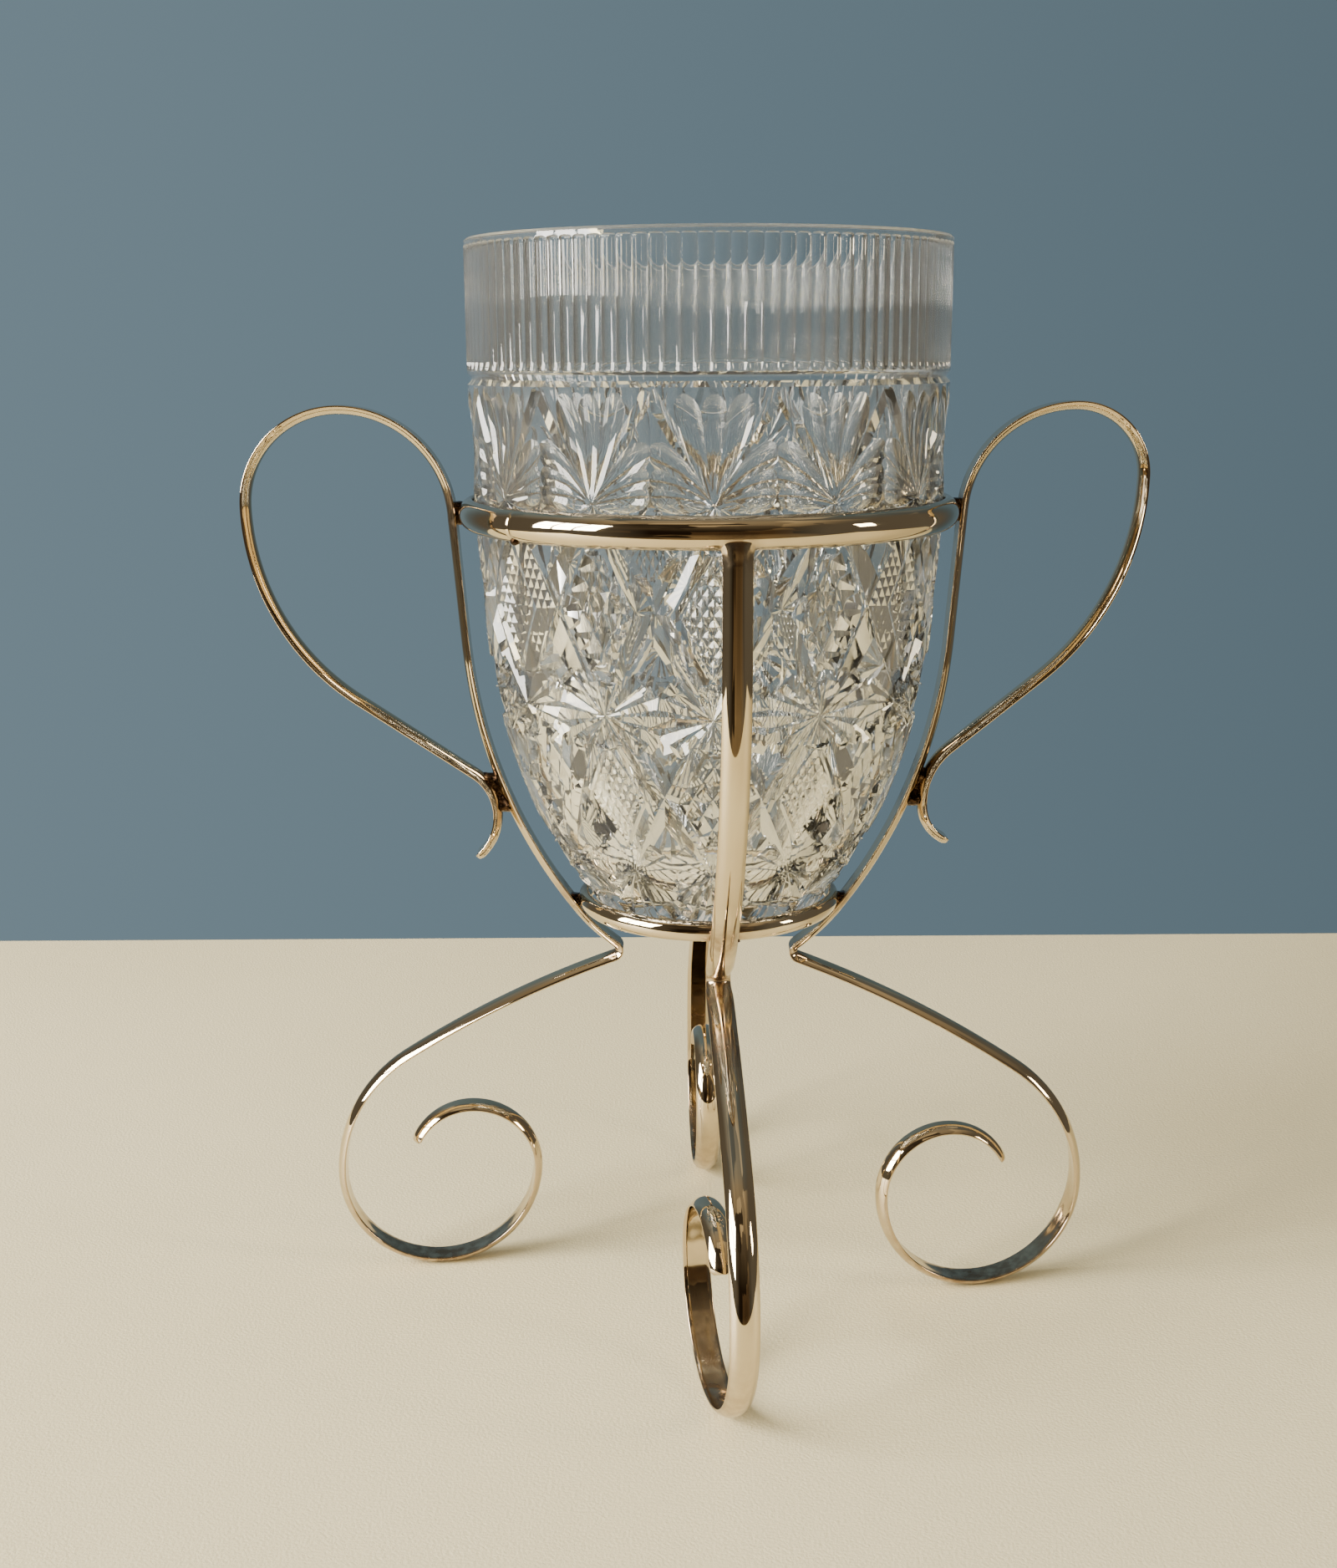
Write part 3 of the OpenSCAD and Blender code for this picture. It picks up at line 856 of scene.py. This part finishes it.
def floor_material():
    """A smooth cream table top with a faint grain."""
    made, tree, shader = material_with("table_top")
    broad = ramp(tree, pattern(tree, 3, 4), [(0.3, (0.80, 0.70, 0.43)), (0.7, (0.85, 0.75, 0.475))])
    grain = ramp(tree, pattern(tree, 650, 4), [(0.3, (0.93, 0.93, 0.93)), (0.7, (1, 1, 1))])
    both = node(tree, "MixRGB", blend_type="MULTIPLY", fac=1.0)
    tree.links.new(broad, both.inputs["Color1"])
    tree.links.new(grain, both.inputs["Color2"])
    tree.links.new(both.outputs["Color"], shader.inputs["Base Color"])
    tree.links.new(ramp(tree, pattern(tree, 90, 3), [(0.3, 0.5), (0.7, 0.62)]), shader.inputs["Roughness"])
    bumped(tree, shader, pattern(tree, 900, 3), 0.00025)
    return made


# ---------------------------------------------------------------------------------------------------------
# The object
# ---------------------------------------------------------------------------------------------------------

SILVER, SOLDER = silver_material(), solder_material()
bucket = crystal_bucket(crystal_material())
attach(bucket, "bucket")
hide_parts("bucket")

# Where the legs and the upper ring's seam are round the axis, in degrees from +X
LEFT_AT, RIGHT_AT, FRONT_AT, REAR_AT = 181, 1, -85, 92
ALL_LEGS_AT = (LEFT_AT, RIGHT_AT, FRONT_AT, REAR_AT)
SEAM_AT = 221
LOWER_Z = (LOWER_LOW.z + LOWER_HIGH.z) / 2

# Tarnish beside every joint: a place, how far it reaches and how strong it is
stains = [(round_the_axis(91 * MM, at, RING_Z), 15 * MM, 1) for at in (LEFT_AT, RIGHT_AT)]
stains += [(round_the_axis(88 * MM, at, RING_Z - 5 * MM), 9 * MM, 1) for at in (FRONT_AT, REAR_AT)]
stains += [(round_the_axis(51 * MM, at, LOWER_Z), 12 * MM, 1) for at in ALL_LEGS_AT]
handle_joints = ((LEFT_AT, 81.5, 98), (LEFT_AT, 78.6, 109.5), (RIGHT_AT, 80.5, 97.5), (RIGHT_AT, 77.5, 107.5))
stains += [(round_the_axis(r * MM, at, RING_Z - below * MM), 9 * MM, 1) for at, r, below in handle_joints]
stains.append((round_the_axis(87 * MM, SEAM_AT, RING_Z), 4 * MM, 1))

legs = {
    "left": run_to_ground(SIDE_LEG_R, RING_Z, SIDE_LEAN, LEFT_LOWER),
    "right": run_to_ground(SIDE_LEG_R, RING_Z, SIDE_LEAN, RIGHT_LOWER),
    "front": run_to_ground(PLAIN_LEG_R, PLAIN_TOP, PLAIN_LEAN, FRONT_LOWER),
    "rear": run_to_ground(PLAIN_LEG_R, PLAIN_TOP, PLAIN_LEAN, REAR_LOWER)}
handles = {side: places_along(start_place(SIDE_LEG_R, RING_Z, SIDE_LEAN, 1), bends)
           for side, bends in (("left", LEFT_HANDLE), ("right", RIGHT_HANDLE))}


def strip_object(name, at, side, below_fold=()):
    """A leg with the handle it carries, if any, tarnished at its fold and at below_fold, each a number of
    places past the fold and how far it reaches, and painted darker towards the bottom of its scroll."""
    places = legs[side]
    fold = fold_index(places)
    fold_at = places[fold][0]
    lowest = min((place[0] for place in places), key=lambda p: p.z)
    # The second of these paints the scroll darker towards its bottom, near the ground.
    own = [(fold_at, 8 * MM, 1), (lowest, 60 * MM, 0.9)]
    own += [(places[fold + past][0], reach, 1) for past, reach in below_fold]
    if side in handles:
        places = [(p, -right, -ahead) for p, right, ahead in handles[side][:0:-1]] + places
    made = turned(strip(places, fold_at), at)
    spin = Matrix.Rotation(radians(at), 3, "Z")
    return metal_object(name, made, SECTION_WORN, stains + [(spin @ p, *rest) for p, *rest in own], SILVER)


metal = {
    "left_leg_handle": strip_object("left_leg_handle_strip", LEFT_AT, "left"),
    "right_leg_handle": strip_object("right_leg_handle_strip", RIGHT_AT, "right"),
    "front_leg": strip_object("front_leg_strip", FRONT_AT, "front", ((14, 17 * MM), (34, 15 * MM))),
    "rear_leg": strip_object("rear_leg_strip", REAR_AT, "rear"),
    "upper_ring": ring("upper_ring_band", UPPER_LOW, UPPER_HIGH, SILVER, UPPER_T, stains, SEAM_AT),
    "lower_ring": ring("lower_ring_band", LOWER_LOW, LOWER_HIGH, SILVER, LOWER_T, stains)}
for replaced, piece in metal.items():
    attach(piece, "stand")
    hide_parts(replaced)

# How many of a handle's places are its tail, counted from its end
TAIL_PLACES = 50

upper_band = (UPPER_LOW, UPPER_HIGH, UPPER_T)
lower_band = (LOWER_LOW, LOWER_HIGH, LOWER_T)
brazing = {}
for side, at in (("left", LEFT_AT), ("right", RIGHT_AT)):
    brazing["upper_" + side] = filler(at, legs[side], *upper_band, 4.1 * MM, 3.0 * MM)
    brazing["lower_" + side] = filler(at, legs[side], *lower_band, 4.2 * MM, 2.8 * MM)
for side, at in (("front", FRONT_AT), ("rear", REAR_AT)):
    brazing["upper_" + side] = flare(at)
    brazing["lower_" + side] = filler(at, legs[side], *lower_band, 4.6 * MM, 3.2 * MM, 2.2 * MM)
for side, at, top, bottom in (("left", LEFT_AT, 96.5, 111.5), ("right", RIGHT_AT, 96, 110.5)):
    tail = handles[side][-TAIL_PLACES:]
    low_z, high_z = RING_Z - bottom * MM, RING_Z - top * MM
    brazing["handle_" + side] = bridge(at, thigh(legs[side]), tail, low_z, high_z, 3.6 * MM)
brazing["ring_seam"] = drop(SEAM_AT, (86.6 * MM, 0, RING_Z - 5.1 * MM), (1.7 * MM, 1.9 * MM, 1.3 * MM))
for name, (points, faces) in brazing.items():
    plated = name in ("upper_front", "upper_rear")
    if plated:
        piece = metal_object("brazing_" + name, (points, faces), [0], stains, SILVER)
    else:
        piece = new_object("brazing_" + name, points, faces, SOLDER, radians(60))
    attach(piece, "stand")
    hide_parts("braze_" + name)

# ---------------------------------------------------------------------------------------------------------
# Studio
# ---------------------------------------------------------------------------------------------------------

def make_floor():
    """The table top that the stand is on."""
    half_w, front, back, thick = 0.95, -0.43, 0.42, 0.03
    outline = ((-half_w, front), (half_w, front), (half_w, back), (-half_w, back))
    corners = [(x, y, z) for z in (-thick, 0) for x, y in outline]
    faces = [(4, 5, 6, 7), (3, 2, 1, 0)] + [(i, (i + 1) % 4, (i + 1) % 4 + 4, i + 4) for i in range(4)]
    new_object("table_top", [Vector(c) for c in corners], faces, floor_material())


def area_light(name, place, target, size, power, colour):
    """A rectangular light of a width and height that faces a target, with its power in watts."""
    light = bpy.data.lights.new(name, "AREA")
    light.shape, light.size, light.size_y = "RECTANGLE", *size
    light.energy, light.color = power, colour
    obj = bpy.data.objects.new(name, light)
    obj.location = place
    obj.rotation_mode = "QUATERNION"
    obj.rotation_quaternion = (Vector(target) - Vector(place)).to_track_quat("-Z", "Y")
    bpy.context.scene.collection.objects.link(obj)
    return obj


def make_camera():
    """A little below the rim's height and left of the stand's middle, looking down at it."""
    focal_px, frame_px, sensor = 2198, 1600, 36
    distance, height, left = 0.6689, 0.3550, 0.0149
    down, tilt = radians(13.29, -0.333)
    camera = bpy.data.objects.new("camera", bpy.data.cameras.new("camera"))
    camera.data.sensor_fit, camera.data.sensor_width = "HORIZONTAL", sensor
    camera.data.lens = sensor * focal_px / frame_px
    up = Vector((0, math.sin(down), math.cos(down)))
    right = Vector((1, 0, 0))
    back = right.cross(up)
    across = right * math.cos(tilt) + up * math.sin(tilt)
    camera.matrix_world = Matrix((across, back.cross(across), back)).transposed().to_4x4()
    camera.location = (-left, -distance, height)
    bpy.context.scene.collection.objects.link(camera)
    bpy.context.scene.camera = camera


def make_world():
    """A blue-grey wall behind with painted shade, lighter on the left and darker to the right, plain
    brown-grey sides, and in front a dim brown room with a pale ceiling and square light and dark things in
    it, for the silver and the crystal to reflect."""
    world = bpy.data.worlds.new("studio")
    world.use_nodes = True
    tree = world.node_tree
    place = node(tree, "TexCoord")
    parts = node(tree, "SeparateXYZ")
    tree.links.new(place.outputs["Generated"], parts.inputs["Vector"])

    def share(socket, low, high):
        """How far a socket's number is on its way from low to high, from 0 to 1."""
        made = node(tree, "MapRange", from_min=low, from_max=high)
        tree.links.new(socket, made.inputs["Value"])
        return made.outputs["Result"]

    # Painted shade across the wall: lighter on the left, darker to the right.
    wall = ramp(tree, share(parts.outputs["X"], -0.45, 0.45),
                [(0.0, (0.170, 0.241, 0.286)), (1.0, (0.101, 0.151, 0.180))])
    room = ramp(tree, share(parts.outputs["Z"], -0.4, 1.0),
                [(0.0, (0.10, 0.075, 0.045)), (0.22, (0.025, 0.016, 0.009)), (0.42, (0.03, 0.020, 0.012)),
                 (0.60, (0.11, 0.085, 0.055)), (0.82, (0.24, 0.20, 0.145)), (1.0, (0.36, 0.31, 0.23))])
    things = node(tree, "TexVoronoi", scale=2.6, distance="CHEBYCHEV")
    tree.links.new(place.outputs["Generated"], things.inputs["Vector"])
    grey = node(tree, "RGBToBW")
    tree.links.new(things.outputs["Color"], grey.inputs["Color"])
    shades = ramp(tree, grey.outputs["Val"],
                  [(0.25, (0.22, 0.2, 0.18)), (0.5, (0.8, 0.78, 0.74)), (0.72, (3.0, 2.8, 2.3))])
    furnished = node(tree, "MixRGB", blend_type="MULTIPLY", fac=1.0)
    tree.links.new(room, furnished.inputs["Color1"])
    tree.links.new(shades, furnished.inputs["Color2"])
    aside = node(tree, "Math", operation="ABSOLUTE")
    tree.links.new(parts.outputs["X"], aside.inputs[0])
    behind = node(tree, "Math", operation="MULTIPLY")
    tree.links.new(share(parts.outputs["Y"], -0.25, 0.35), behind.inputs[0])
    tree.links.new(share(aside.outputs[0], 0.8, 0.5), behind.inputs[1])
    front = mixed(tree, share(aside.outputs[0], 0.45, 0.8), furnished.outputs["Color"], (0.13, 0.115, 0.09))
    around = mixed(tree, behind.outputs[0], front, wall)
    path = node(tree, "LightPath")
    seen = mixed(tree, path.outputs["Is Camera Ray"], around, wall)
    tree.links.new(seen, tree.nodes["Background"].inputs["Color"])
    bpy.context.scene.world = world


def make_window():
    """A window of six panes to the left of the stand and in front of it."""
    middle, target = Vector((-2.3, -0.95, 1.15)), Vector((0, 0, 0.25))
    towards = (target - middle).normalized()
    across = towards.cross(Vector((0, 0, 1))).normalized()
    up = across.cross(towards)
    pane_w, pane_h, gap = 0.5, 0.72, 0.07
    for column in (-1, 0, 1):
        for row in (-0.5, 0.5):
            place = middle + across * column * (pane_w + gap) + up * row * (pane_h + gap)
            area_light("pane", place, place + towards, (pane_w, pane_h), 42, (1.0, 0.965, 0.89))


make_floor()
make_camera()
make_world()
make_window()
area_light("lamp", (1.9, -0.62, 0.85), (0, 0, 0.2), (0.34, 0.5), 16, (1, 0.86, 0.62))
area_light("warm_corner", (-1.7, -1.3, 0.62), (0, 0, 0.25), (0.16, 0.3), 5, (1, 0.72, 0.12))
ceiling = area_light("ceiling", (-0.3, -0.2, 2.3), (0, 0, 0), (3.2, 2.6), 14, (1, 0.95, 0.86))
# Reflections show the room's own ceiling and not this light
ceiling.visible_glossy = False
